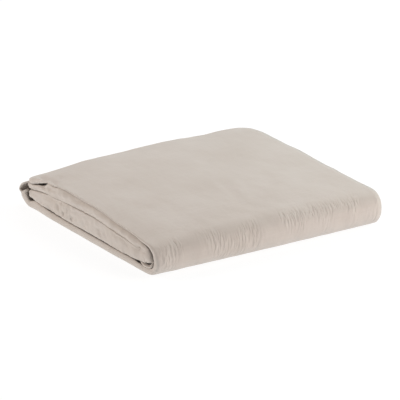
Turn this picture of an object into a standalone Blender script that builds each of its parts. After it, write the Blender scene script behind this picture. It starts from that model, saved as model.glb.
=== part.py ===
"""A fitted sheet of soft brushed cotton, folded into a square packet for the shelf.

The cloth is first folded lengthways into a strip six layers thick: a thin pair that ends up on
the outside, and a fuller bundle of four. The strip is then folded over and over on itself, so
its five runs lie back and forth on each other: the heart in the middle, one run under it, one
over it, the under run that lies on the shelf, and the cover on top. The whole sheet is one
piece of cloth with a small space between its layers.

The closed front fold lies along X at the front (-Y), and the folded end looks towards -X.
"""

import math

import bpy

WIDTH = 0.354  # folded end to the far end, along X
DEPTH = 0.352  # front fold to the tip of the back loop, along Y
CLOTH = 0.0010  # thickness of the cloth
SPACE = 0.0003  # least space between two layers

LEFT = -WIDTH / 2
RIGHT = WIDTH / 2
BACK = DEPTH / 2

LAYERS = 6
PITCH = CLOTH + SPACE
PRESSED = LAYERS * CLOTH + (LAYERS - 1) * SPACE  # the strip pressed as flat as it goes

# Height of the packet's upper face: a row for each of the places along Y where every run is
# divided, and a column for each place along X where every layer is divided.
COLUMNS = (LEFT, -0.150, -0.085, 0.050, RIGHT)
TOP_HEIGHT = (
    # y, folded end, just inside it, further in, middle, far end
    (-0.150, 0.0415, 0.0440, 0.0485, 0.0505, 0.0480),
    (-0.110, 0.0465, 0.0495, 0.0530, 0.0540, 0.0485),
    (-0.030, 0.0550, 0.0562, 0.0570, 0.0575, 0.0520),
    (0.060, 0.0560, 0.0570, 0.0580, 0.0580, 0.0550),
    (0.115, 0.0495, 0.0530, 0.0560, 0.0575, 0.0550),
    (0.156, 0.0400, 0.0430, 0.0495, 0.0535, 0.0515),
)
DIVISIONS = tuple(row[0] for row in TOP_HEIGHT[1:-1])

# Share of that height which each run's upper face reaches at the folded end. Away from it the
# shares are evened out to fifths, by the part given for each column.
EVENED = (0.0, 0.45, 1.0, 1.0, 1.0)
SHARES = (
    # y, under, first under, heart, first over
    (-0.150, 0.190, 0.385, 0.605, 0.800),
    (-0.110, 0.175, 0.345, 0.620, 0.815),
    (-0.030, 0.175, 0.325, 0.640, 0.845),
    (0.060, 0.175, 0.335, 0.645, 0.845),
    (0.115, 0.185, 0.370, 0.635, 0.825),
    (0.156, 0.197, 0.400, 0.620, 0.802),
)

# The runs in the order in which the strip passes through them. The level counts from the shelf.
RUNS = (
    # level, from y, to y
    (2, -0.1425, 0.1480),  # heart
    (1, 0.1480, -0.1430),  # first under
    (3, -0.1430, 0.1490),  # first over
    (0, 0.1490, -0.1445),  # under
    (4, -0.1445, 0.1560),  # cover
)

# The fold after each run but the last: how far its middle line swings out, how much of that is
# lost towards the two ends, how square its bend is, at what share of its height its tip lies at
# the folded end and at the far end, and in how many steps it is made.
FOLDS = (
    # swing, lost at the ends, squareness, tip at the folded end, tip at the far end, steps
    (0.0052, 0.0, 2.0, 0.50, 0.50, 5),
    (0.0150, 0.0025, 2.0, 0.48, 0.54, 6),
    (0.0232, 0.0, 2.0, 0.50, 0.50, 6),
    (0.0284, 0.0040, 2.4, 0.45, 0.62, 7),
)

# How far the closed folds of the outer pair and of the bundle stand in from the folded end, and
# how far the cloth's two ends stand in from the far end. A row for each run and fold, in order.
EDGES = (
    # pair, bundle, far end
    (0.0070, 0.0010, 0.0040),
    (0.0050, 0.0010, 0.0030),
    (0.0070, 0.0010, 0.0035),
    (0.0050, 0.0010, 0.0030),
    (0.0075, 0.0030, 0.0020),
    (0.0010, 0.0080, 0.0020),
    (0.0010, 0.0025, 0.0015),
    (0.0005, 0.0015, 0.0000),
    (0.0000, 0.0070, 0.0000),
)
BOW = 0.0018  # how much further the folded end reaches in its middle than at its corners

# The layers in the order in which the cloth passes through them, numbered from the strip's outer
# face inwards. It turns at the folded end after the first, third and fifth.
CLOTH_ORDER = (0, 1, 2, 5, 4, 3)
INNER_FOLD = (3, 4)  # the fold that lies inside the one between the third and last layers
FULLEST_BEND = 0.0045  # no closed fold bulges further than this
CUT_IN = 0.0020  # how far the two cut edges stand in from the folds beside them
TURN_STEPS = 4


def between(value, rows):
    """The columns of a table at a value of its first column, on straight lines between its rows."""
    value = min(max(value, rows[0][0]), rows[-1][0])
    upper = next(i for i in range(1, len(rows)) if value <= rows[i][0])
    before, after = rows[upper - 1], rows[upper]
    part = (value - before[0]) / (after[0] - before[0])
    return [low + part * (high - low) for low, high in zip(before[1:], after[1:])]


def evened(x):
    """How far the runs and layers are spaced evenly, from 0 at the folded end to 1."""
    return between(x, list(zip(COLUMNS, EVENED)))[0]


def level_faces(x, y, level):
    """Heights of a run's lower and upper faces."""
    height = between(x, list(zip(COLUMNS, between(y, TOP_HEIGHT))))[0]
    shares = [0.0, *between(y, SHARES), 1.0]
    even = evened(x)
    low, high = (
        height * ((1 - even) * shares[n] + even * n / len(RUNS)) for n in (level, level + 1)
    )
    return low, high - (SPACE if level < len(RUNS) - 1 else 0.0)


def run_place(x, y, level):
    """Middle height and thickness of the strip in a run."""
    low, high = level_faces(x, y, level)
    return (low + high) / 2, high - low


def run_stations(number):
    """The places along one run, each as a function of x that gives point, normal, thickness."""
    level, start, end = RUNS[number]
    outward = 1 if number % 2 == 0 else -1

    def at(y):
        def place(x):
            middle, thick = run_place(x, y, level)
            return y, middle, 0.0, outward, thick

        return place

    divisions = DIVISIONS if start < end else DIVISIONS[::-1]
    return [at(y) for y in (start, *divisions, end)]


def fold_stations(number):
    """The places round the fold after a run, evenly spaced in the angle that the strip turns."""
    swing, lost, squareness, tip_folded, tip_far, steps = FOLDS[number]
    level_before, _, y_bend = RUNS[number]
    level_after = RUNS[number + 1][0]
    side = 1 if number % 2 == 0 else -1

    def at(turn):
        def place(x):
            before, after = run_place(x, y_bend, level_before), run_place(x, y_bend, level_after)
            (low, thick_low), (high, thick_high) = sorted((before, after))
            (tip,) = between(x, ((LEFT, tip_folded), (RIGHT, tip_far)))
            tip_height = low + tip * (high - low)
            reach = swing - lost * (x / RIGHT) ** 2
            rise = high - tip_height if turn > 0 else tip_height - low
            out, up = math.cos(turn), abs(math.sin(turn))
            power = 1 / (squareness - 1)
            along, across = (reach * out) ** power, (rise * up) ** power
            size = (along**squareness + across**squareness) ** (1 / squareness)
            thick_run = thick_high if turn > 0 else thick_low
            thick = PRESSED + (thick_run - PRESSED) * up**2
            y = y_bend + side * reach * along / size
            z = tip_height + math.copysign(rise * across / size, turn)
            return y, z, side * out, math.sin(turn), thick

        return place

    start = math.pi / 2 if level_before > level_after else -math.pi / 2
    return [at(start * (1 - 2 * step / steps)) for step in range(1, steps)]


def strip_stations():
    """Every place along the strip, with its progress: the middle of a run or fold is at the
    number of its row in the table of edges, and it reaches halfway to the rows beside it."""
    stations = []
    for number in range(len(RUNS)):
        places = run_stations(number)
        run_start = 2 * number - 0.5
        for i, place in enumerate(places):
            stations.append((run_start + i / (len(places) - 1), place))
        if number < len(FOLDS):
            places = fold_stations(number)
            fold_start = run_start + 1
            for i, place in enumerate(places, start=1):
                stations.append((fold_start + i / (len(places) + 1), place))
    return stations


def layer_height(layer, x, thick):
    """Height of a layer's middle over the strip's middle: packed outer pair, then the bundle."""
    room = thick - CLOTH
    even = evened(x)
    pair = PITCH / room
    packed = (0.0, pair, 2 * pair, 2 * pair + (1 - 2 * pair) / 3, 1 - (1 - 2 * pair) / 3, 1.0)
    share = (1 - even) * packed[layer] + even * layer / (LAYERS - 1)
    return room * (0.5 - share)


def bend_depth(layer, following, heights):
    """How far the fold between two layers reaches past the place where they end."""
    half = abs(heights[layer] - heights[following]) / 2
    if following < layer and {layer, following} == set(INNER_FOLD):
        room_inside = min(abs(heights[2] - heights[5]) / 2, FULLEST_BEND) - PITCH
        return min(half, room_inside)
    return min(half, FULLEST_BEND)


def layer_stretch(turn, edges, thick_at):
    """Where a layer begins and ends along X, in the direction in which the cloth runs."""
    folded_end, far_end, pair_in, bundle_in = edges
    layer = CLOTH_ORDER[turn]
    stand_in = pair_in if layer < 2 else bundle_in
    heights = [layer_height(n, LEFT, thick_at(LEFT)) for n in range(LAYERS)]
    outer_bend = (0, 1) if layer < 2 else (2, 5)
    near = folded_end + stand_in + CLOTH / 2 + bend_depth(*outer_bend, heights)
    cut = turn in (0, LAYERS - 1)
    far = far_end - (CUT_IN if cut else CLOTH / 2 + PITCH / 2)
    columns = (near, *COLUMNS[1:-1], far)
    return columns[::-1] if turn % 2 == 0 else columns


def section(progress, place):
    """The two sides of the cloth across the strip at one place, as points in space."""
    pair_in, bundle_in, far_in = between(
        progress, [(row, *edges) for row, edges in enumerate(EDGES)]
    )
    folded_end = LEFT + BOW * (place(0.0)[0] / BACK) ** 2
    edges = (folded_end, RIGHT - far_in, pair_in, bundle_in)
    sides = ([], [])

    def thick_at(x):
        return place(x)[4]

    def add(x, height, lean_x, lean_height):
        """A point on each side of the cloth, half its thickness along its own normal."""
        y, z, normal_y, normal_z, _ = place(x)
        for side, sign in zip(sides, (1, -1)):
            half = sign * CLOTH / 2
            reach = height + half * lean_height
            side.append((x + half * lean_x, y + reach * normal_y, z + reach * normal_z))

    for turn, layer in enumerate(CLOTH_ORDER):
        left = turn % 2 == 0
        side_up = 1 if left else -1
        for x in layer_stretch(turn, edges, thick_at):
            add(x, layer_height(layer, x, thick_at(x)), 0.0, side_up)
        if turn + 1 == LAYERS:
            break
        following = CLOTH_ORDER[turn + 1]
        heights = [layer_height(n, x, thick_at(x)) for n in range(LAYERS)]
        middle = (heights[layer] + heights[following]) / 2
        half = (heights[layer] - heights[following]) / 2
        depth = bend_depth(layer, following, heights) if left else PITCH / 2
        outward = -1 if left else 1
        outer_side = math.copysign(side_up, side_up * half)
        for step in range(1, TURN_STEPS):
            angle = math.pi * step / TURN_STEPS
            add(
                x + outward * depth * math.sin(angle),
                middle + half * math.cos(angle),
                outer_side * outward * math.sin(angle),
                outer_side * math.copysign(math.cos(angle), half * math.cos(angle)),
            )
    return sides


def folded_cloth():
    """Vertices and faces of the whole sheet: two sides of the cloth and the rim between them."""
    vertices, faces, rows = [], [], []
    for progress, place in strip_stations():
        row = []
        for side in section(progress, place):
            row.append(range(len(vertices), len(vertices) + len(side)))
            vertices.extend(side)
        rows.append(row)
    across = len(rows[0][0])

    def add_face(a, b, c, d):
        """Two triangles, split the same way on every layer so that the layers stay parallel."""
        along_x = vertices[b][0] - vertices[a][0]
        along_y = vertices[c][1] - vertices[b][1]
        if along_x * along_y > 0:
            faces.extend(((a, b, c), (a, c, d)))
        else:
            faces.extend(((a, b, d), (b, c, d)))

    for (upper, lower), (next_upper, next_lower) in zip(rows, rows[1:]):
        for i in range(across - 1):
            add_face(upper[i + 1], upper[i], next_upper[i], next_upper[i + 1])
            add_face(lower[i], lower[i + 1], next_lower[i + 1], next_lower[i])
        add_face(upper[0], lower[0], next_lower[0], next_upper[0])
        add_face(lower[-1], upper[-1], next_upper[-1], next_lower[-1])
    for i in range(across - 1):
        upper, lower = rows[0]
        add_face(upper[i + 1], lower[i + 1], lower[i], upper[i])
        upper, lower = rows[-1]
        add_face(upper[i], lower[i], lower[i + 1], upper[i + 1])
    return vertices, faces


def brushed_cotton():
    """Undyed, slightly warm grey-beige cloth."""
    material = bpy.data.materials.new("brushed_cotton")
    material.use_nodes = True
    shader = material.node_tree.nodes["Principled BSDF"]
    shader.inputs["Base Color"].default_value = (0.62, 0.55, 0.49, 1.0)
    shader.inputs["Roughness"].default_value = 0.95
    shader.inputs["Metallic"].default_value = 0.0
    return material


def main():
    for old in list(bpy.data.objects):
        bpy.data.objects.remove(old)
    collection = bpy.data.collections.new("folded_fitted_sheet")
    bpy.context.scene.collection.children.link(collection)
    vertices, faces = folded_cloth()
    mesh = bpy.data.meshes.new("fitted_sheet")
    mesh.from_pydata(vertices, [], faces)
    mesh.validate()
    mesh.materials.append(brushed_cotton())
    sheet = bpy.data.objects.new("fitted_sheet", mesh)
    collection.objects.link(sheet)
    mesh.shade_smooth()
    mesh.set_sharp_from_angle(angle=math.radians(40))


main()
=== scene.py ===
# %% [markdown]
# # A fitted sheet, folded for the shelf
#
# The object is one big piece of brushed cotton. Folded lengthways it makes a strip of six
# layers, and the strip is then folded over and over on itself until it is a flat square packet.
# The solid model already has every layer in its place, but its folds are plain and its faces are
# coarse. Here the same folding is worked out again on a fine grid, and the softness is added:
# rounded puffs where the bundle of layers turns back, dimples, gathers along the front roll,
# and shallow creases on the cover.

# %% Load the frame
import math

import bpy
import numpy as np
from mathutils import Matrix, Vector


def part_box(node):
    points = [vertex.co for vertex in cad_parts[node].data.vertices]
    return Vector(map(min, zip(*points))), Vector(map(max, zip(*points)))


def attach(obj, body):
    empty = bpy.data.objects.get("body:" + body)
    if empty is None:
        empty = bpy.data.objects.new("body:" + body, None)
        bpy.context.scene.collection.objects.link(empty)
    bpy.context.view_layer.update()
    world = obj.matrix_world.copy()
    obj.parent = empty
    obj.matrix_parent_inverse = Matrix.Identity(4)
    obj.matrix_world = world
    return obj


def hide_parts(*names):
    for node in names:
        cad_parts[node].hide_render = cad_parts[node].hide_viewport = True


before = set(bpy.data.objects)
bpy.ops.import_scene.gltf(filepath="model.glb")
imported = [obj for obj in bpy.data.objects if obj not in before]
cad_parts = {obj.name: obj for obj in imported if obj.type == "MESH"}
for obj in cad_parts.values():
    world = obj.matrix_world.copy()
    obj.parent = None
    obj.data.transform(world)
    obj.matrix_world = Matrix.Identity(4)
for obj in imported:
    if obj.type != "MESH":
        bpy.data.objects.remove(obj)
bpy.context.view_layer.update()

low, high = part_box("fitted_sheet")
LEFT, RIGHT = low.x, high.x
FRONT, BACK = low.y, high.y
TOP = high.z
HALF_WIDTH = (RIGHT - LEFT) / 2
HALF_DEPTH = (BACK - FRONT) / 2
print("packet", [round(1000 * side, 1) for side in high - low], "mm")

# %% [markdown]
# ## The camera
#
# A packet on a shelf is seen from above one corner. A long lens from four metres away keeps the
# packet's sides nearly parallel. The camera is placed by its angle round the packet and its
# angle above the floor, so that the view can be read straight from the numbers.

# %% Camera
VIEW_ROUND, VIEW_ABOVE = math.radians(-33.084), math.radians(19.715)
VIEW_DISTANCE = 3.974
VIEW_CENTRE = Vector((0.0337, 0.0480, 0.0))
LENS, SENSOR = 264.6, 36.0

away = Vector((
    math.sin(VIEW_ROUND) * math.cos(VIEW_ABOVE),
    -math.cos(VIEW_ROUND) * math.cos(VIEW_ABOVE),
    math.sin(VIEW_ABOVE),
))
camera_data = bpy.data.cameras.new("camera")
camera_data.lens = LENS
camera_data.sensor_width = SENSOR
camera = bpy.data.objects.new("camera", camera_data)
camera.location = VIEW_CENTRE + VIEW_DISTANCE * away
camera.rotation_euler = away.to_track_quat("Z", "Y").to_euler()
bpy.context.scene.collection.objects.link(camera)
bpy.context.scene.camera = camera
bpy.context.scene.view_settings.view_transform = "Standard"
print("camera at", [round(c, 3) for c in camera.location])

# %% [markdown]
# ## Heights of the packet
#
# The packet isn't level. It is fullest in the middle and towards the back, thinner along its
# folded end, and thinnest at its corners. A small table holds the height of the upper face, as
# a share of the packet's full height, at a few places. Reading a table on straight lines leaves
# ridges in the cloth, so each reading is an average over a short stretch on either side.

# %% A table with rounded corners
ROUNDED_OVER = 0.020  # how far a table's corners are rounded on either side
OFFSETS = np.linspace(-0.9, 0.9, 9) * ROUNDED_OVER
WEIGHTS = 1 - abs(OFFSETS) / ROUNDED_OVER
WEIGHTS = WEIGHTS / WEIGHTS.sum()


def read(value, places, amounts):
    """A table's column at a value or at many, as an average over the stretch round each."""
    value = np.asarray(value, float)
    return sum(w * np.interp(value + o, places, amounts) for o, w in zip(OFFSETS, WEIGHTS))


# %% Height of the upper face
COLUMN_X = np.array((-1.0, -0.847, -0.480, 0.282, 1.0)) * HALF_WIDTH
HEIGHT_SHARES = np.array((
    # y, then the height at the folded end, just inside it, further in, middle and far end
    (-0.852, 0.716, 0.759, 0.836, 0.871, 0.828),
    (-0.625, 0.802, 0.853, 0.914, 0.931, 0.836),
    (-0.170, 0.948, 0.969, 0.983, 0.991, 0.897),
    (0.341, 0.966, 0.983, 1.000, 1.000, 0.948),
    (0.653, 0.853, 0.914, 0.966, 0.991, 0.948),
    (0.886, 0.690, 0.741, 0.853, 0.922, 0.888),
))
ROW_Y = HEIGHT_SHARES[:, 0] * HALF_DEPTH
HEIGHTS = HEIGHT_SHARES[:, 1:] * TOP


def height_at(x, y):
    """Height of the packet's upper face above the shelf."""
    columns = np.eye(len(COLUMN_X))
    return sum(
        read(x, COLUMN_X, columns[i]) * read(y, ROW_Y, HEIGHTS[:, i])
        for i in range(len(COLUMN_X))
    )


print("height in the middle", round(1000 * float(height_at(0.0, 0.0)), 1), "mm")

# %% [markdown]
# ## The five runs of the strip
#
# The strip lies back and forth in five runs. At the folded end the runs aren't equally thick,
# because the bundle of layers puffs out there, and the inner run, the heart, is the fullest.
# Further in they even out. A second table holds the share of the height that each run reaches.

# %% Where each run lies
RUN_SHARES = np.array((
    # y, then the top of the under run, the first under, the heart and the first over
    (-0.852, 0.190, 0.385, 0.605, 0.800),
    (-0.625, 0.175, 0.345, 0.650, 0.825),
    (-0.170, 0.175, 0.325, 0.685, 0.850),
    (0.341, 0.175, 0.335, 0.645, 0.845),
    (0.653, 0.185, 0.370, 0.635, 0.825),
    (0.886, 0.197, 0.400, 0.620, 0.802),
))
EVENED = (0.0, 0.45, 1.0, 1.0, 1.0)  # how even the runs are at each of the columns along X
LEVELS = 5
CLOTH = 0.0010  # thickness of the cloth
SPACE = 0.0003  # planned least space between two layers
PITCH = CLOTH + SPACE
LAYERS = 6
PRESSED = LAYERS * CLOTH + (LAYERS - 1) * SPACE  # the strip pressed as flat as it goes

RUNS = (
    # level from the shelf, where the run starts, and its stretches: to this y, in so many steps
    (2, -0.1425, ((-0.1380, 3), (0.0300, 42), (0.0800, 28), (0.1480, 16))),  # heart
    (1, 0.1480, ((-0.1360, 9), (-0.1430, 3))),  # first under
    (3, -0.1430, ((0.0500, 46), (0.1490, 28))),  # first over
    (0, 0.1490, ((0.1000, 12), (-0.1445, 24))),  # under
    (4, -0.1445, ((0.1400, 64), (0.1520, 5), (0.1560, 4))),  # cover
)
BACK_EDGE = RUNS[-1][2][-1][0]
DROOP, DROOPS_OVER = 0.0030, 0.030  # the cover's free edge bends down over the back loop


def run_place(x, y, level):
    """Middle height and thickness of the strip in a run."""
    even = read(x, COLUMN_X, EVENED)
    shares = [0.0, *(float(read(y, ROW_Y, RUN_SHARES[:, i])) for i in range(1, LEVELS)), 1.0]
    height = height_at(x, y)
    lower, upper = (
        height * ((1 - even) * shares[n] + even * n / LEVELS) for n in (level, level + 1)
    )
    upper = upper - (SPACE if level < LEVELS - 1 else 0.0)
    cover = level == LEVELS - 1
    droop = DROOP * max(0, (y - BACK_EDGE + DROOPS_OVER) / DROOPS_OVER) ** 2 if cover else 0
    return (lower + upper) / 2 - droop, upper - lower


# %% [markdown]
# ## The folds between the runs
#
# Each fold is a bend that wraps round the one inside it. A half circle would do for a pressed
# strip, but these bends aren't equally round below and above, and their tips lie low or high.
# So each bend has a lower and an upper half, and each half is a quarter of a superellipse, which
# goes from nearly straight to nearly square. The stations are spaced evenly in the angle that
# the strip turns, so the bend stays smooth where it is tightest.

# %% Round the folds
FOLDS = (
    # how far the fold swings out, and how much less at its two ends; squareness of its lower
    # and upper half and place of its tip at the folded end; squareness and place of its tip at
    # the far end; steps
    (0.0052, 0.0, 2.0, 2.0, 0.50, 2.0, 0.50, 14),
    (0.0122, 0.0, 2.4, 1.45, 0.14, 2.0, 0.54, 30),
    (0.0232, 0.0, 1.5, 2.1, 0.46, 2.0, 0.50, 24),
    (0.0284, 0.0040, 2.3, 2.2, 0.42, 2.4, 0.62, 26),
)
PRESSED_TILL_LATE = 6  # the strip stays pressed round a bend, and thickens only near its ends


def along_run(number):
    """The stations of a run: the share of it that is passed, and each place as a function of x."""
    level, start, stretches = RUNS[number]
    outward = 1 if number % 2 == 0 else -1

    def station(y):
        def place(x):
            middle, thick = run_place(x, y, level)
            return np.full_like(x, y), middle, 0.0, outward, thick

        return place

    places = [start]
    for end, steps in stretches:
        places.extend(np.linspace(places[-1], end, steps + 1)[1:])
    return [((y - start) / (places[-1] - start), station(y)) for y in places]


def round_fold(number):
    """The stations of the fold after a run: the share that is passed, and each place."""
    swing, lost, square_low, square_high, tip_folded, square_far, tip_far, steps = FOLDS[number]
    level_before, _, stretches = RUNS[number]
    y_bend = stretches[-1][0]
    level_after = RUNS[number + 1][0]
    side = 1 if number % 2 == 0 else -1

    def station(turn):
        def place(x):
            ends = [run_place(x, y_bend, level) for level in sorted((level_before, level_after))]
            (lower, thick_lower), (upper, thick_upper) = ends
            tip = lower + read(x, (LEFT, RIGHT), (tip_folded, tip_far)) * (upper - lower)
            reach = swing - lost * (x / RIGHT) ** 2
            rise = upper - tip if turn > 0 else tip - lower
            square_folded = square_high if turn > 0 else square_low
            squareness = np.interp(x, (LEFT, 0), (square_folded, square_far))
            out, up = math.cos(turn), abs(math.sin(turn))
            power = 1 / (squareness - 1)
            along, across = (reach * out) ** power, (rise * up) ** power
            size = (along**squareness + across**squareness) ** (1 / squareness)
            thick_run = thick_upper if turn > 0 else thick_lower
            thick = PRESSED + (thick_run - PRESSED) * up**PRESSED_TILL_LATE
            y = y_bend + side * reach * along / size
            z = tip + math.copysign(1, turn) * rise * across / size
            return y, z, side * out, math.sin(turn), thick

        return place

    start = math.pi / 2 if level_before > level_after else -math.pi / 2
    shares = np.arange(1, steps) / steps
    return [(share, station(start * (1 - 2 * share))) for share in shares]


def all_stations():
    """Every station along the strip, with its progress."""
    stations = []
    for number in range(len(RUNS)):
        stations.extend((2 * number - 0.5 + share, place) for share, place in along_run(number))
        if number < len(FOLDS):
            folded = round_fold(number)
            stations.extend((2 * number + 0.5 + share, place) for share, place in folded)
    return stations


stations = all_stations()
progress = np.array([station[0] for station in stations])
print(len(stations), "stations along the strip")

# %% [markdown]
# ## Six layers in the strip
#
# Across the strip the cloth goes back and forth six times. Layers 0 and 1 are the thin outer
# pair, and layers 2 to 5 the bundle, whose closed fold makes the soft puffs at the folded end.
# Cloth folded by hand is even nowhere, so slow waves are needed in many places. Each set of
# waves is a sum of sines with its own seed, which makes it smooth and the same in each run.

# %% Smooth unevenness
def waves(seed, longest, terms=7):
    """A smooth uneven function of one or two coordinates, mostly between -1 and 1."""
    draw = np.random.default_rng(seed)
    lengths = longest * draw.uniform(0.4, 1.0, terms)
    angles = draw.uniform(0, 2 * math.pi, terms)
    starts = draw.uniform(0, 2 * math.pi, terms)

    def at(a, b=0.0):
        total = 0.0
        for length, angle, start in zip(lengths, angles, starts):
            travelled = (a * math.cos(angle) + b * math.sin(angle)) / length
            total = total + np.sin(2 * math.pi * travelled + start)
        return total / math.sqrt(terms)

    return at


# %% [markdown]
# ## Dents in the puffs
#
# Handling has pushed a few dimples and one long soft crease into the faces of the puffs. Fine
# relief could be left to the finish, but a dimple some millimetres deep has a shadow of its own,
# so it is pressed into the shape. A mark is a trough along a short route of listed points, with
# a width and a depth. The same tool makes the creases on the cover later on.

# %% Tools for the marks
def fading(amount, start, end):
    """0 at start and 1 at end, with a soft run between them."""
    share = np.clip((amount - start) / (end - start), 0, 1)
    return share * share * (3 - 2 * share)


def beside_route(route, a, b):
    """Distance of points (a, b) from a route of straight stretches, and the share passed on it."""
    route = np.array(route)
    lengths = np.linalg.norm(np.diff(route, axis=0), axis=1)
    passed = np.concatenate(([0], np.cumsum(lengths)))
    nearest, share = np.full(a.shape, np.inf), np.zeros(a.shape)
    for start, end, length, before in zip(route, route[1:], lengths, passed):
        (start_a, start_b), (run_a, run_b) = start, end - start
        along = ((a - start_a) * run_a + (b - start_b) * run_b) / length**2
        along = np.clip(along, 0, 1)
        gap = np.hypot(a - start_a - along * run_a, b - start_b - along * run_b)
        closer = gap < nearest
        nearest = np.where(closer, gap, nearest)
        share = np.where(closer, (before + along * length) / passed[-1], share)
    return nearest, share


def trough(route, width, depth, a, b):
    """Depth of a trough at points (a, b): full along the middle of its route, none at its ends."""
    gap, share = beside_route(route, a, b)
    return depth * np.exp(-((gap / width) ** 2)) * np.sqrt(np.clip(4 * share * (1 - share), 0, 1))


# %% Dents in the puffs
END_MARKS = (
    # route over y and z, width, depth
    (((0.075, 0.0250), (0.069, 0.0220)), 0.0015, 0.0052),
    (((0.060, 0.0190), (0.055, 0.0172)), 0.0018, 0.0062),
    (((0.039, 0.0185), (0.034, 0.0170)), 0.0015, 0.0052),
    (((0.049, 0.0290), (0.045, 0.0250)), 0.0016, 0.0026),
    (((0.066, 0.0310), (0.058, 0.0300)), 0.0018, 0.0024),
    (((0.004, 0.029), (0.002, 0.014)), 0.0026, 0.0020),
    (((-0.028, 0.027), (-0.038, 0.016)), 0.0026, 0.0026),
    (((-0.043, 0.031), (-0.048, 0.021)), 0.0026, 0.0018),
    (((0.110, 0.031), (0.085, 0.029), (0.070, 0.028)), 0.0040, 0.0012),
    (((-0.071, 0.030), (-0.096, 0.029), (-0.110, 0.024)), 0.0035, 0.0014),
    (((-0.135, 0.0315), (-0.128, 0.028), (-0.120, 0.024)), 0.0026, 0.0040),
    (((0.120, 0.044), (0.100, 0.037)), 0.0030, 0.0022),
    (((0.100, 0.048), (0.085, 0.040)), 0.0035, 0.0016),
)
CREASE_Y = (-0.13, -0.06, 0.00, 0.06, 0.10, 0.15)
CREASE_Z = (0.0280, 0.0335, 0.0350, 0.0345, 0.0310, 0.0260)
CREASE_WIDTH, CREASE_DEPTH = 0.0045, 0.0012
PUFF_WAVES, PUFF_UNEVEN = waves(31, 0.034), 0.0007
CRUMPLE_WAVES, CRUMPLE_UNEVEN = waves(32, 0.012), 0.0004


def dents(y, z):
    """How far the face of a puff is pushed in at a place on the folded end."""
    marks = sum(trough(route, width, depth, y, z) for route, width, depth in END_MARKS)
    from_crease = (z - np.interp(y, CREASE_Y, CREASE_Z)) / CREASE_WIDTH
    crease = CREASE_DEPTH * np.exp(-(from_crease**2))
    uneven = PUFF_UNEVEN * PUFF_WAVES(y, 2 * z) + CRUMPLE_UNEVEN * CRUMPLE_WAVES(y, 0.8 * z)
    return marks + crease + uneven


print("deepest of the hand-made dents", 1000 * max(depth for _, _, depth in END_MARKS), "mm")

# %% [markdown]
# ## Where the layers end
#
# No two stretches of the folded edge stand in equally far, and this makes the look of the
# folded end. In the heart and the first over run the bundle reaches the end and swells into
# a full puff. In the loop at the back, and in the wrap round the front, only the pair does. One
# table holds these sizes against the progress along the strip, which is 0 in the middle of the
# first run, 1 in the middle of the fold after it, 2 in the middle of the next run and so on. A
# size between two rows is read on a straight line, so the table has the most rows where the
# edge changes quickly.

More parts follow.
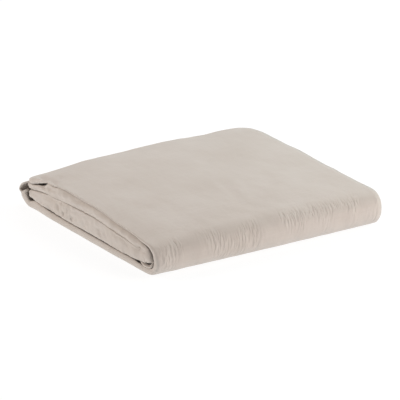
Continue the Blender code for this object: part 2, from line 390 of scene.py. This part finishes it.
# %% Where the layers end
EDGES = np.array((
    # progress; then in mm how far the pair's fold, the bundle's fold and the far end stand in,
    # how far the bundle's fold swells inwards and outwards of the strip, and how far the
    # pair's fold swells inwards; last, how round both folds are on their inner and their
    # outer half, where 1 is half an ellipse and 0 a box
    (-0.50, 11.0, 2.0, 4.0, 4.6, 1.0, 0.0, 0.16, 0.20),  # heart
    (-0.46, 11.0, 1.2, 4.0, 5.2, 1.8, 0.0, 0.14, 0.08),
    (-0.41, 11.0, 1.0, 4.0, 6.6, 1.9, 0.0, 0.12, 0.06),
    (-0.30, 11.0, 1.0, 4.0, 7.0, 2.0, 0.0, 0.12, 0.06),
    (-0.11, 11.0, 1.0, 4.0, 7.8, 2.0, 0.0, 0.12, 0.06),
    (0.20, 11.0, 1.0, 4.0, 8.7, 2.0, 0.0, 0.12, 0.08),
    (0.33, 11.0, 1.2, 4.0, 8.4, 1.9, 0.0, 0.14, 0.10),
    (0.40, 11.0, 1.2, 4.0, 7.4, 1.4, 0.0, 0.20, 0.20),
    (0.46, 11.0, 1.2, 4.0, 4.4, 1.2, 0.0, 0.25, 0.25),
    (0.50, 11.0, 1.4, 3.5, 3.2, 0.8, 0.0, 0.30, 0.30),
    (0.60, 10.0, 1.6, 3.5, 0.8, 0.4, 0.0, 0.40, 0.40),
    (0.80, 8.0, 3.0, 3.5, 0.0, 0.0, 0.0, 0.50, 0.50),
    (1.10, 10.0, 6.0, 3.5, 0.0, 0.0, 0.0, 0.50, 0.50),
    (1.50, 13.0, 12.5, 3.0, 0.0, 0.0, 0.0, 0.50, 0.50),  # first under
    (2.42, 13.0, 12.5, 3.0, 0.0, 0.0, 0.0, 0.50, 0.50),
    (2.48, 1.2, 12.5, 3.0, 0.0, 0.0, 0.0, 0.50, 0.50),  # the pair comes out
    (3.03, 0.8, 12.0, 3.0, 0.0, 0.0, 0.0, 0.50, 0.50),
    (3.09, 4.0, 1.4, 3.0, 7.0, 0.6, 0.0, 0.25, 0.40),
    (3.16, 12.0, 0.2, 3.0, 9.2, 1.6, 0.0, 0.20, 0.40),
    (3.30, 13.0, 0.2, 3.0, 6.0, 2.0, 0.0, 0.20, 0.60),
    (3.40, 13.0, 0.4, 3.5, 3.0, 2.2, 0.0, 0.16, 0.90),
    (3.50, 13.0, 0.8, 3.5, 0.8, 2.6, 0.0, 0.08, 1.20),  # first over
    (3.58, 13.0, 0.8, 3.5, 1.2, 3.6, 0.0, 0.06, 1.20),
    (3.86, 13.0, 1.8, 3.5, 0.8, 5.8, 0.0, 0.06, 1.20),
    (4.08, 13.0, 1.8, 3.5, 0.8, 6.4, 0.0, 0.08, 1.10),
    (4.17, 13.0, 0.6, 3.5, 0.8, 8.0, 0.0, 0.10, 0.50),
    (4.21, 13.0, 0.2, 3.5, 0.8, 8.8, 0.0, 0.12, 0.25),
    (4.26, 13.0, 0.0, 3.5, 0.8, 9.2, 0.0, 0.14, 0.15),
    (4.33, 13.0, 0.2, 3.5, 0.8, 8.8, 0.0, 0.20, 0.15),
    (4.365, 13.0, 1.2, 3.5, 1.0, 5.2, 0.0, 0.40, 0.30),
    (4.40, 13.0, 1.6, 3.5, 1.0, 2.6, 0.0, 0.40, 0.40),
    (4.45, 13.0, 1.8, 3.5, 1.0, 1.6, 0.0, 0.40, 0.40),
    (4.50, 12.0, 1.8, 3.0, 1.0, 1.4, 0.0, 0.50, 0.50),
    (4.55, 10.0, 2.2, 2.5, 0.0, 1.0, 0.0, 0.50, 0.50),  # open loop
    (4.64, 1.0, 15.0, 2.0, 0.0, 0.0, 0.0, 0.50, 0.50),
    (4.93, 0.5, 30.0, 2.0, 0.0, 0.0, 0.0, 0.30, 0.50),
    (5.04, 0.5, 25.0, 2.0, 0.0, 0.0, 14.0, 0.25, 0.40),
    (5.15, 0.5, 20.0, 2.0, 0.0, 0.0, 15.0, 0.20, 0.50),
    (5.30, 0.5, 16.0, 2.0, 0.0, 0.0, 11.5, 0.20, 0.50),
    (5.42, 0.5, 12.0, 2.0, 0.0, 0.0, 6.6, 0.20, 0.50),
    (5.50, 0.5, 12.0, 1.5, 0.0, 0.0, 6.4, 0.20, 0.50),  # under
    (5.546, 0.5, 12.0, 1.5, 0.0, 0.0, 9.8, 0.20, 0.50),
    (5.60, 0.5, 12.0, 1.5, 0.0, 0.0, 8.4, 0.20, 0.50),
    (5.66, 0.5, 12.0, 1.5, 0.0, 0.0, 7.5, 0.20, 0.50),
    (5.80, 0.5, 12.0, 1.5, 0.0, 0.0, 7.1, 0.20, 0.50),
    (6.39, 0.5, 12.0, 1.0, 0.0, 0.0, 6.8, 0.20, 0.50),
    (6.44, 0.5, 13.0, 0.8, 0.0, 0.0, 5.5, 0.20, 0.50),
    (6.52, 0.5, 13.5, 0.6, 0.0, 0.0, 5.3, 0.22, 0.50),
    (6.62, 0.6, 14.0, 0.5, 0.0, 0.0, 6.2, 0.25, 0.50),  # wrap in front
    (6.80, 1.0, 16.0, 0.0, 0.0, 0.0, 8.0, 0.25, 0.50),
    (7.05, 1.0, 16.0, 0.0, 0.0, 0.0, 8.8, 0.25, 0.50),
    (7.30, 1.0, 16.0, 0.0, 0.0, 0.0, 6.0, 0.25, 0.50),
    (7.42, 0.8, 16.0, 0.0, 0.0, 0.0, 3.0, 0.30, 0.50),
    (7.50, 0.4, 15.0, 0.0, 0.0, 0.0, 1.8, 0.40, 0.50),  # cover
    (7.60, 0.0, 14.0, 0.0, 0.0, 0.0, 0.0, 0.50, 0.50),
    (8.335, 0.0, 14.0, 0.0, 0.0, 0.0, 0.0, 0.50, 0.50),
    (8.365, 0.0, 14.0, 0.0, 0.0, 0.0, 3.2, 0.40, 0.50),
    (8.40, 0.0, 14.0, 0.4, 0.0, 0.0, 5.4, 0.40, 0.50),
    (8.44, 0.0, 14.0, 2.0, 0.0, 0.0, 6.0, 0.40, 0.50),
    (8.47, 1.0, 14.0, 5.5, 0.0, 0.0, 5.6, 0.40, 0.50),
    (8.485, 2.8, 15.0, 9.0, 0.0, 0.0, 4.5, 0.40, 0.50),
    (8.495, 6.0, 17.0, 14.0, 0.0, 0.0, 3.0, 0.50, 0.50),
    (8.50, 9.0, 20.0, 17.0, 0.0, 0.0, 2.0, 0.50, 0.50),
))
EDGES[:, 1:7] /= 1000  # mm to m
WANDER = (0.0003, 0.0005, 0.0005)  # how far the first three of those sizes wander
WANDER_WAVES = [waves(seed, 0.4) for seed in (3, 4, 5)]
BOW = 0.0018  # how much further the folded end reaches in its middle than at its corners
print(len(EDGES), "rows for the edges")


def edges_at(progress):
    """The sizes of the table at one place along the strip."""
    sizes = [np.interp(progress, EDGES[:, 0], column) for column in EDGES.T[1:]]
    for i, (amount, wave) in enumerate(zip(WANDER, WANDER_WAVES)):
        sizes[i] = sizes[i] + amount * (1 + wave(progress))
    return sizes


# %% [markdown]
# ## Layers and their folds across the strip
#
# A section of the cloth is drawn across the strip at each station: six layers, and a fold where
# one layer turns into the next. The outermost layer is the one that is seen, so it gets close
# columns, closest near the folded end, and the hidden layers get a few. All sections have the
# same number of points, which lets plain rows of faces join them.

# %% The layers
LAYER_ORDER = (0, 1, 2, 5, 4, 3)  # as the cloth passes through them
CUT_IN = 0.0020  # how far the two cut edges stand in behind the folds of the far end
NEAR_END, NEAR_COLUMNS, OTHER_COLUMNS = 0.075, 11, 46
FINE_PLACES = np.concatenate((
    np.linspace(0, NEAR_END, NEAR_COLUMNS),
    np.linspace(NEAR_END, 1, OTHER_COLUMNS)[1:],
))
PLAIN_PLACES = np.array((0, 0.02, 0.06, 0.15, 0.34, 0.66, 1))


def layer_height(layer, x, thick):
    """Height of a layer over the strip's middle: packed pair at the folded end, even further in."""
    room = thick - CLOTH
    even = read(x, COLUMN_X, EVENED)
    pair = PITCH / room
    rest = (1 - 2 * pair) / 3
    packed = (0.0, pair, 2 * pair, 2 * pair + rest, 1 - rest, 1.0)
    share = (1 - even) * packed[layer] + even * layer / (LAYERS - 1)
    return room * (0.5 - share)


def layer_places(turn, starts, far_end):
    """The x of each column on a layer, in the direction in which the cloth runs."""
    layer = LAYER_ORDER[turn]
    near = starts[0] if layer < 2 else starts[1]
    far = far_end - (CUT_IN if turn in (0, LAYERS - 1) else CLOTH / 2 + PITCH / 2)
    shares = FINE_PLACES if layer == 0 else PLAIN_PLACES
    places = near + (far - near) * shares
    return places[::-1] if turn % 2 == 0 else places


print(len(FINE_PLACES), "columns on the outermost layer,", len(PLAIN_PLACES), "on the others")

# %% A fold between two layers
TURN_STEPS = (8, 2, 18, 2, 2)  # steps round each fold, in the order of the layers
INNER_FOLD = (3, 4)  # the fold that lies inside the one between the third and last layers
INNER_BEND = 0.0010  # the inner fold stays this flat, which leaves room for dents
FULLEST_BEND = 0.0070
PLAIN_ROUNDNESS = (0.5, 0.5)
CLOSER_AT_ENDS = 0.28  # how far a fold's points are drawn towards its two ends
HEEL = 0.12  # a fold swells as soon as it leaves its layers, at this share of its reach
LEAN = 0.36  # how much a round swollen fold leans back on the swollen side


def fold_of(layer, following, heights, swells):
    """Half the height of the closed fold between two layers, and how far it reaches out."""
    half = (heights[layer] - heights[following]) / 2
    if {layer, following} == set(INNER_FOLD):
        return half, min(abs(half), INNER_BEND)
    return half, min(abs(half) + sum(swells) / 2, FULLEST_BEND)


def fold_path(steps, half, depth, roundness, swell_in, swell_out):
    """The middle line of a fold: how far its points reach out, and their height."""
    total = abs(half) + (swell_in + swell_out) / 2
    share = np.arange(steps + 1) / steps
    angle = math.pi * share - CLOSER_AT_ENDS * np.sin(2 * math.pi * share)
    up = np.cos(angle)
    round_in, round_out = roundness
    power = np.where(up > 0, round_out, round_in)
    back = LEAN * power * np.where(up > 0, swell_out, swell_in) * abs(up) / total
    reach = depth * np.abs(np.sin(angle)) ** power * (1 - back)
    reach[[0, -1]] = HEEL * depth
    return reach, math.copysign(total, half) * up + (swell_out - swell_in) / 2


# %% The section across the strip
DEEPEST_DENT = 0.8  # the share of a fold's reach that a dent may take


def section(progress, place):
    """The two sides of the cloth across the strip at one station, as rows of points."""
    pair_in, bundle_in, far_in, swell_in, swell_out, pair_swell, *roundness = edges_at(progress)
    swells = {0: (pair_swell, 0.0), 2: (swell_in, swell_out)}  # by the layer before the fold
    (y_left,), _, _, _, (thick_left,) = place(np.array((LEFT,)))
    folded_end = LEFT + BOW * (y_left / HALF_DEPTH) ** 2 + CLOTH / 2
    heights = [float(layer_height(n, LEFT, thick_left)) for n in range(LAYERS)]
    starts = (
        folded_end + pair_in + fold_of(0, 1, heights, swells[0])[1],
        folded_end + bundle_in + fold_of(2, 5, heights, swells[2])[1],
    )
    sides = ([], [])

    def add(x, height, lean_x, lean_height):
        """Points on each side of the cloth, half its thickness along its own normal."""
        y, z, normal_y, normal_z, _ = place(x)
        for side, sign in zip(sides, (1, -1)):
            half = sign * CLOTH / 2
            reach = height + half * lean_height
            row = (x + half * lean_x, y + reach * normal_y, z + reach * normal_z)
            side.append(np.stack(np.broadcast_arrays(*row), axis=1))

    for turn, layer in enumerate(LAYER_ORDER):
        left = turn % 2 == 0
        places = layer_places(turn, starts, RIGHT - far_in)
        add(places, layer_height(layer, places, place(places)[4]), 0.0, 1 if left else -1)
        if turn + 1 == LAYERS:
            break
        following = LAYER_ORDER[turn + 1]
        x = places[-1:]
        y, z, normal_y, normal_z, thick = place(x)
        heights = [float(layer_height(n, x, thick)[0]) for n in range(LAYERS)]
        swell = swells.get(layer, (0.0, 0.0)) if left else (0.0, 0.0)
        half, depth = fold_of(layer, following, heights, swell)
        depth = depth if left else PITCH / 2
        round_by = roundness if layer in swells else PLAIN_ROUNDNESS
        reach, rise = fold_path(TURN_STEPS[turn], half, depth, round_by, *swell)
        middle = (heights[layer] + heights[following]) / 2
        if layer == 2:
            dent = dents(y + (middle + rise) * normal_y, z + (middle + rise) * normal_z)
            share = np.sin(math.pi * np.arange(len(reach)) / (len(reach) - 1))
            reach = reach - np.minimum(dent * share, DEEPEST_DENT * reach)
        reach = -reach if left else reach
        steps_out, steps_up = np.gradient(reach), np.gradient(rise)
        length = np.hypot(steps_out, steps_up)
        add(x + reach, middle + rise, steps_up / length, -steps_out / length)
    return [np.concatenate(side) for side in sides]


sides = np.array([section(*station) for station in stations])
print("grid", sides.shape, "of stations, sides, columns and coordinates")

# %% [markdown]
# ## Creases on the cover and gathers along the front roll
#
# Pressing and handling leave shallow marks on the cover too. They could be carved into the cover
# alone, but then it would be pushed through the layer under it. So the finished points of the
# whole packet are moved, all layers together, and the move fades out with the distance from the
# face on which the mark lies. The front roll is gathered in the same way by slow waves.

# %% Marks on the cover
COVER_MARKS = (
    # route over x and y, width, depth (a ridge has a negative depth)
    (((0.012, -0.030), (0.002, -0.075), (-0.008, -0.112), (0.004, -0.138)), 0.006, 0.0012),
    (((0.024, -0.040), (0.014, -0.080), (0.006, -0.108)), 0.006, -0.0008),
    (((-0.110, 0.040), (-0.050, 0.060), (0.010, 0.062)), 0.018, 0.0011),
    (((-0.090, -0.055), (-0.096, -0.100)), 0.007, 0.0009),
    (((-0.066, 0.085), (-0.060, 0.055)), 0.006, 0.0007),
    (((0.060, -0.060), (0.075, -0.110), (0.100, -0.135)), 0.009, 0.0009),
    (((0.100, 0.020), (0.120, -0.040)), 0.012, 0.0008),
    (((-0.030, 0.110), (0.030, 0.130), (0.090, 0.120)), 0.014, 0.0008),
    (((-0.150, -0.020), (-0.120, -0.070), (-0.112, -0.110)), 0.010, 0.0010),
    (((-0.163, 0.134), (-0.169, 0.118), (-0.174, 0.100)), 0.0035, 0.0030),
    (((-0.165, 0.104), (-0.170, 0.090), (-0.175, 0.074)), 0.0035, 0.0022),
    (((-0.150, 0.104), (-0.163, 0.090)), 0.0045, 0.0014),
)
SLOW_WAVES, SLOW_UNEVEN = waves(11, 0.16), 0.0006
QUICK_WAVES, QUICK_UNEVEN = waves(12, 0.05), 0.00018
FADES_FROM, FULL_FROM = 0.55, 0.95  # as shares of the packet's height at that place

x, y, z = (sides[..., axis] for axis in range(3))
near_top = fading(z / height_at(x, y), FADES_FROM, FULL_FROM)
drop = sum(trough(route, width, depth, x, y) for route, width, depth in COVER_MARKS)
drop = drop + SLOW_UNEVEN * SLOW_WAVES(x, y) + QUICK_UNEVEN * QUICK_WAVES(x, y)
sides[..., 2] -= near_top * drop
print("cover moved by", round(1000 * float(abs(near_top * drop).max()), 2), "mm at most")

# %% Gathers along the front roll
GATHER_WAVES, GATHER_DEPTH = waves(21, 0.030), 0.0005
GATHERED_BEHIND, FULLY_GATHERED = 0.030, 0.004  # distances behind the packet's front

near_front = fading(-sides[..., 1], -FRONT - GATHERED_BEHIND, -FRONT - FULLY_GATHERED)
gathered = near_front * GATHER_DEPTH * GATHER_WAVES(sides[..., 0], 0.4 * sides[..., 2])
sides[..., 1] += gathered
print("roll moved by", round(1000 * float(abs(gathered).max()), 2), "mm at most")

# %% [markdown]
# ## From the grid to a mesh
#
# The points form a grid of stations and columns on each side of the cloth. A thin sheet could
# also be made as one surface with a Solidify modifier. Here both sides are known already, so
# faces join each point to its neighbours, and a rim closes the cut edges. The result is one
# closed skin round the whole cloth.
#
# Closed doesn't mean free of crossings. About a tenth of the faces pass through others: tight
# folds at the folded end through themselves, and neighbouring layers through each other. Most
# of it is out of sight, so a render hardly shows it, but a mesh that is to be cut, printed or
# simulated needs its layers parted first.

# %% Mesh of the sheet
sides[..., 2] = np.maximum(sides[..., 2], 0.0)
rows, _, columns, _ = sides.shape
index = np.arange(rows * 2 * columns).reshape(rows, 2, columns)


def quads(a, b, c, d):
    """Faces from four equal blocks of point numbers."""
    return np.stack((a, b, c, d), axis=-1).reshape(-1, 4)


outer, inner = index[:, 0], index[:, 1]
faces = np.concatenate((
    quads(outer[:-1, 1:], outer[:-1, :-1], outer[1:, :-1], outer[1:, 1:]),
    quads(inner[:-1, :-1], inner[:-1, 1:], inner[1:, 1:], inner[1:, :-1]),
    quads(outer[:-1, 0], inner[:-1, 0], inner[1:, 0], outer[1:, 0]),
    quads(inner[:-1, -1], outer[:-1, -1], outer[1:, -1], inner[1:, -1]),
    quads(outer[0, 1:], inner[0, 1:], inner[0, :-1], outer[0, :-1]),
    quads(outer[-1, :-1], inner[-1, :-1], inner[-1, 1:], outer[-1, 1:]),
))
mesh = bpy.data.meshes.new("folded_sheet")
mesh.from_pydata(sides.reshape(-1, 3).tolist(), [], faces.tolist())
mesh.shade_smooth()
sheet = bpy.data.objects.new("folded_sheet", mesh)
bpy.context.scene.collection.objects.link(sheet)
print(len(faces), "faces")

# %% [markdown]
# ## The flat cloth, and marks for the finish
#
# The weave has to run along the threads, round every fold. So each point also gets its place on
# the cloth as it lies unfolded, in metres, in the way that other meshes get a texture map. Two
# marks, from 0 to 1, tell the finish where the front roll and the folded end are, because the
# cloth is gathered on the one and more crumpled on the other.

# %% Map of the flat cloth
middle = sides.mean(axis=1)
steps_across = np.linalg.norm(np.diff(middle, axis=1), axis=2).mean(axis=0)
steps_along = np.linalg.norm(np.diff(middle, axis=0), axis=2).mean(axis=1)
across = np.concatenate(([0], np.cumsum(steps_across)))
along = np.concatenate(([0], np.cumsum(steps_along)))
flat_place = np.stack(np.broadcast_arrays(across[None, None, :], along[:, None, None]), axis=-1)
flat_place = np.repeat(flat_place, 2, axis=1).reshape(-1, 2)
corner_points = np.empty(len(mesh.loops), np.int32)
mesh.loops.foreach_get("vertex_index", corner_points)
cloth_map = mesh.uv_layers.new(name="cloth")
cloth_map.uv.foreach_set("vector", flat_place[corner_points].astype(np.float32).ravel())
print("flat cloth", round(across[-1], 2), "by", round(along[-1], 2), "m")

# %% Marks of the front roll and the folded end
ROLL_BEGINS, ROLL_FULL = 6.50, 6.80  # progress along the strip
ROLL_FADES, ROLL_ENDS = 7.30, 7.50
END_BEGINS, END_FULL = 0.010, 0.004  # distance from the folded end


def add_mark(name, amounts):
    """Gives each point of the mesh a number that the finish can read."""
    mark = mesh.attributes.new(name, "FLOAT", "POINT")
    mark.data.foreach_set("value", amounts.astype(np.float32).ravel())
    print(name, "marks", int((amounts > 0).sum()), "points")


on_roll = fading(progress, ROLL_BEGINS, ROLL_FULL) * fading(-progress, -ROLL_ENDS, -ROLL_FADES)
at_end = fading(-sides[..., 0], -LEFT - END_BEGINS, -LEFT - END_FULL)
add_mark("front_roll", np.repeat(on_roll, 2 * columns))
add_mark("folded_end", at_end * (1 - on_roll[:, None, None]))

# %% [markdown]
# ## Brushed cotton
#
# The cloth is undyed: a light grey-beige, in places a little darker and warmer. Its threads are
# half a millimetre apart, and brushing has raised a short nap that hides most of the weave and
# scatters the light. So the finish has three scales: threads and slubs, the thick places in
# them, from the map of the flat cloth; nap from fine noise; and the small wrinkles and gathers
# that are too fine for the mesh. A picture of cloth could be laid over the mesh instead, but
# sums of waves and noise have no seams and no end.
#
# The sums are written as plain expressions. A small class stands for a value in the shader, and
# each + or * between such values adds a node.

# %% A value in the shader
class Value:
    """One output of a shader node, which can be used in sums."""

    def __init__(self, tree, socket):
        self.tree, self.socket = tree, socket

    def node(self, kind, settings=None, inputs=None, output=0):
        """Adds a node: its settings are set first, then the values or links of its sockets."""
        made = self.tree.nodes.new(kind)
        for name, setting in (settings or {}).items():
            setattr(made, name, setting)
        for name, given in (inputs or {}).items():
            if isinstance(given, Value):
                self.tree.links.new(given.socket, made.inputs[name])
            else:
                made.inputs[name].default_value = given
        return Value(self.tree, made.outputs[output])

    def maths(self, operation, *given):
        """A Math node on the given values."""
        return self.node("ShaderNodeMath", {"operation": operation}, dict(enumerate(given)))

    def __add__(self, other):
        return self.maths("ADD", self, other)

    def __sub__(self, other):
        return self.maths("SUBTRACT", self, other)

    def __rsub__(self, other):
        return self.maths("SUBTRACT", other, self)

    def __mul__(self, other):
        return self.maths("MULTIPLY", self, other)

    __radd__ = __add__
    __rmul__ = __mul__

    def sine(self):
        return self.maths("SINE", self)

    def numbers(self):
        """The three numbers of a place."""
        split = self.node("ShaderNodeSeparateXYZ", {}, {0: self})
        return [Value(self.tree, output) for output in split.socket.node.outputs]

    def beside(self, other):
        """A place from two numbers."""
        return self.node("ShaderNodeCombineXYZ", {}, {0: self, 1: other})

    def between(self, low, high):
        """0 up to the low value, 1 from the high one, and a soft run between them."""
        limits = {0: self, 1: low, 2: high}
        return self.node("ShaderNodeMapRange", {"interpolation_type": "SMOOTHSTEP"}, limits)

    def noise(self, scale, detail=2.0, stretch=(1, 1, 1)):
        """Noise about zero, with this value as the place."""
        place = self.node("ShaderNodeVectorMath", {"operation": "MULTIPLY"}, {0: self, 1: stretch})
        settings = {"Vector": place, "Scale": scale, "Detail": detail}
        return self.node("ShaderNodeTexNoise", {}, settings) - 0.5

    def tinted(self, low_colour, high_colour):
        """A colour from the first at 0 to the second at 1."""
        ends = {0: self, 6: (*low_colour, 1), 7: (*high_colour, 1)}
        return self.node("ShaderNodeMix", {"data_type": "RGBA"}, ends, output=2)


print("a value can be used by", ", ".join(name for name in vars(Value) if name[0] != "_"))

# %% Relief and colour of the cloth
THREAD_PITCH = 0.00055
SLUB_SHORT, SLUB_LONG = 260, 22  # slubs to the metre across a thread and along it
CLUSTERS = (26, 14, 1)  # clusters of gathers to the metre, along the roll and round it
GATHERS = (290, 80, 1)  # gathers to the metre, along the roll and round it
GATHER_SLANT = 0.2
NAP, WRINKLES, PATCHES = 1300, 75, 14  # tufts, small wrinkles and shade patches to the metre

WEAVE_HEIGHT, SLUB_HEIGHT, NAP_HEIGHT = 0.000012, 0.00005, 0.00012
WRINKLE_HEIGHT, MORE_ON_PUFFS = 0.0006, 0.0014
GATHER_HEIGHT = 0.0025
DARKER, PALER = (0.560, 0.500, 0.445), (0.640, 0.590, 0.545)


def relief_and_shade(cloth, place, roll, puffs):
    """Height of the cloth's fine relief in metres, its shade from 0 to 1, and its nap."""
    u, v, _ = cloth.numbers()
    thread = 2 * math.pi / THREAD_PITCH
    weave = (u * thread).sine() * (v * thread).sine()
    slubs = (
        cloth.noise(1.0, 3.0, (SLUB_SHORT, SLUB_LONG, 1))
        + cloth.noise(1.0, 3.0, (SLUB_LONG, SLUB_SHORT, 1))
    )
    nap = place.noise(NAP, 3.0)
    clusters = cloth.noise(1.0, 1.0, CLUSTERS).between(-0.10, 0.10)
    gathers = (u + GATHER_SLANT * v).beside(v).noise(1.0, 1.5, GATHERS) * clusters * roll
    height = (
        WEAVE_HEIGHT * weave
        + SLUB_HEIGHT * slubs
        + NAP_HEIGHT * nap
        + (WRINKLE_HEIGHT + MORE_ON_PUFFS * puffs) * place.noise(WRINKLES, 3.0)
        + GATHER_HEIGHT * gathers
    )
    shade = 0.5 + 0.45 * slubs + 0.35 * nap + 0.9 * place.noise(PATCHES, 2.0)
    return height, shade, nap


# %% Brushed cotton
def brushed_cotton():
    """Undyed brushed cotton in a plain weave."""
    material = bpy.data.materials.new("brushed_cotton")
    material.use_nodes = True
    tree = material.node_tree
    shader = tree.nodes["Principled BSDF"]
    start = Value(tree, None)
    cloth = start.node("ShaderNodeUVMap", {"uv_map": "cloth"})
    place = start.node("ShaderNodeTexCoord", output=3)
    roll = start.node("ShaderNodeAttribute", {"attribute_name": "front_roll"}, output=2)
    puffs = start.node("ShaderNodeAttribute", {"attribute_name": "folded_end"}, output=2)

    height, shade, nap = relief_and_shade(cloth, place, roll, puffs)
    bump = start.node("ShaderNodeBump", {}, {"Height": height, "Distance": 1.0, "Strength": 1.0})
    tree.links.new(shade.tinted(DARKER, PALER).socket, shader.inputs["Base Color"])
    tree.links.new(bump.socket, shader.inputs["Normal"])
    tree.links.new((0.9 + 0.15 * nap).socket, shader.inputs["Roughness"])
    shader.inputs["Specular IOR Level"].default_value = 0.2
    shader.inputs["Sheen Weight"].default_value = 0.15
    shader.inputs["Sheen Roughness"].default_value = 0.6
    return material


mesh.materials.append(brushed_cotton())
print("nodes in the finish", len(mesh.materials[0].node_tree.nodes))

# %% [markdown]
# ## Floor and light
#
# The packet lies on a plain white floor in a white room, as in a tent of white cloth. The floor
# glows of itself, which keeps the shadow beside the packet faint. Most light comes from wide
# soft lamps: one behind the packet, one at its folded end, and two nearer ones at its right,
# so that the front roll grows brighter from left to right. The light of the near front lamp
# is warm, that of the near side lamp cool. The room itself gives only a weak fill, so the
# gaps between the layers stay dark.

# %% Floor
def plain_white():
    """White paper, bright of itself, as a backdrop lit from behind is."""
    material = bpy.data.materials.new("white_floor")
    material.use_nodes = True
    shader = material.node_tree.nodes["Principled BSDF"]
    shader.inputs["Base Color"].default_value = (0.2, 0.2, 0.2, 1)
    shader.inputs["Roughness"].default_value = 1.0
    shader.inputs["Specular IOR Level"].default_value = 0.0
    shader.inputs["Emission Color"].default_value = (1, 1, 1, 1)
    shader.inputs["Emission Strength"].default_value = 0.86
    return material


FLOOR_SIDE = 60.0
BELOW = 0.0003
half = FLOOR_SIDE / 2
turns = ((-1, -1), (1, -1), (1, 1), (-1, 1))
floor_mesh = bpy.data.meshes.new("floor")
floor_mesh.from_pydata([(half * a, half * b, -BELOW) for a, b in turns], [], [(0, 1, 2, 3)])
floor_mesh.materials.append(plain_white())
floor = bpy.data.objects.new("floor", floor_mesh)
bpy.context.scene.collection.objects.link(floor)
print("floor", FLOOR_SIDE, "m wide,", 1000 * BELOW, "mm below the packet")

# %% Fill light from the room
room = bpy.data.worlds.new("room")
room.use_nodes = True
fill = room.node_tree.nodes["Background"]
fill.inputs["Color"].default_value = (1, 1, 1, 1)
fill.inputs["Strength"].default_value = 0.3
bpy.context.scene.world = room
print("fill light", round(fill.inputs["Strength"].default_value, 2))

# %% Lamps
LAMPS = {
    # place, side of the square, watts, colour
    "back_lamp": ((1.5, 2.0, 2.0), 2.0, 30.0, (0.94, 0.92, 1.0)),
    "folded_end_lamp": ((-2.3, 1.8, 1.8), 1.4, 49.0, (1.0, 0.88, 0.80)),
    "near_side_lamp": ((1.5, -0.1, 0.9), 1.0, 8.0, (0.60, 1.0, 1.0)),
    "near_front_lamp": ((1.1, -1.3, 0.9), 1.0, 18.2, (1.0, 0.85, 0.80)),
}
for name, (place, side, watts, colour) in LAMPS.items():
    lamp_data = bpy.data.lights.new(name, "AREA")
    lamp_data.size = side
    lamp_data.energy = watts
    lamp_data.color = colour
    lamp = bpy.data.objects.new(name, lamp_data)
    lamp.location = place
    lamp.rotation_euler = Vector(place).to_track_quat("Z", "Y").to_euler()
    bpy.context.scene.collection.objects.link(lamp)
print(len(LAMPS), "lamps")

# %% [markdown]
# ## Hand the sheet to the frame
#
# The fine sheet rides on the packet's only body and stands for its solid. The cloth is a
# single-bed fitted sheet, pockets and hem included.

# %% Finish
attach(sheet, "root")
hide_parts("fitted_sheet")
